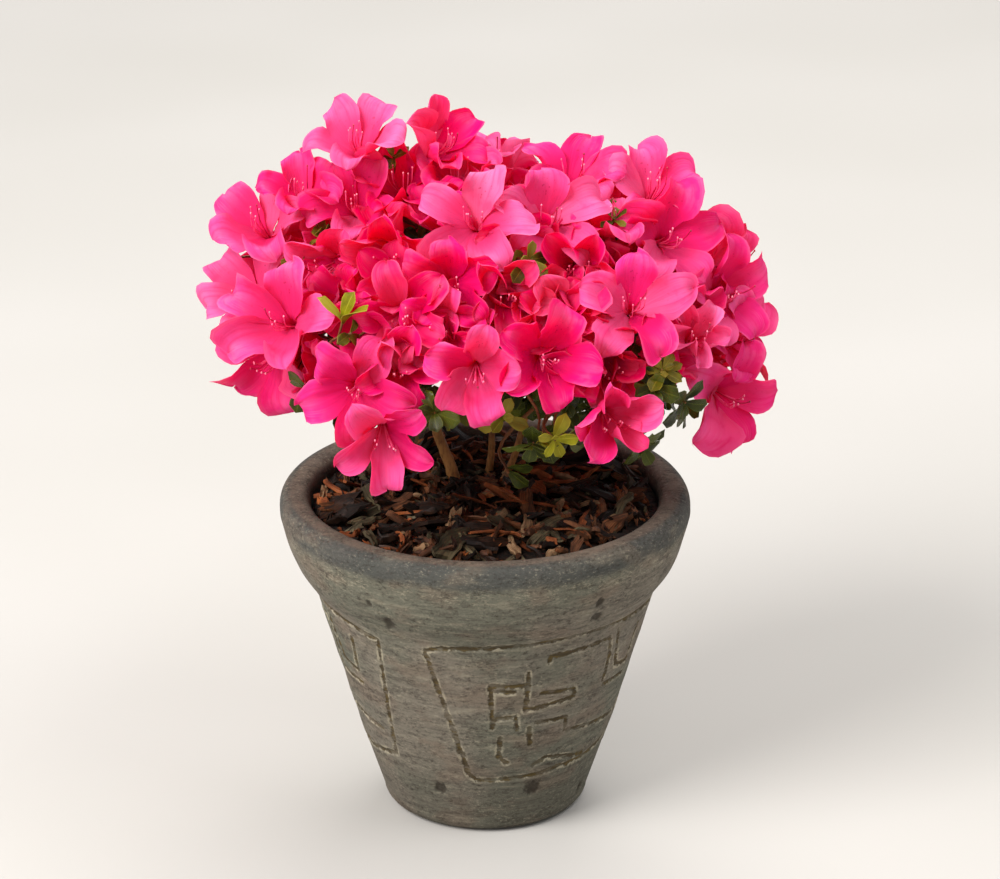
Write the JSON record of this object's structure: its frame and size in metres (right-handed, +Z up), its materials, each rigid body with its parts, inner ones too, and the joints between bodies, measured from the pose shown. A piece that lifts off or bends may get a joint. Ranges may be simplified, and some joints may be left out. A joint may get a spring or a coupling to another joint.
{
  "type": "flowering azalea shrub in a pot",
  "caption": "Small evergreen azalea shrub in full pink bloom, with a domed crown on thin stems, growing in a tapered clay pot topped with bark mulch.",
  "frame": {"origin": "centre of the pot's flat underside", "axes": "+Z up along the pot's axis, -Y towards the side that the picture shows"},
  "size_m": [0.2476, 0.2049, 0.318],
  "materials": {
    "clay": "matte, weathered, unglazed",
    "mulch": "damp bark chips",
    "bark": "smooth thin bark",
    "blossom": "soft satin petals"
  },
  "bodies": {
    "root": {"pot": "clay", "compost": "mulch", "main_stem": "bark", "second_stem": "bark", "third_stem": "bark", "bough_top": "bark", "bough_upper_front_left": "bark", "bough_upper_front_right": "bark", "bough_upper_back_left": "bark", "bough_upper_back_right": "bark", "bough_front": "bark", "bough_front_left": "bark", "bough_left": "bark", "bough_back_left": "bark", "bough_back_right": "bark", "bough_right": "bark", "bough_front_right": "bark", "crown_top": "blossom", "crown_upper_front_left": "blossom", "crown_upper_front_right": "blossom", "crown_upper_back_left": "blossom", "crown_upper_back_right": "blossom", "crown_front": "blossom", "crown_front_left": "blossom", "crown_left": "blossom", "crown_back_left": "blossom", "crown_back_right": "blossom", "crown_right": "blossom", "crown_front_right": "blossom"}
  },
  "joints": []
}
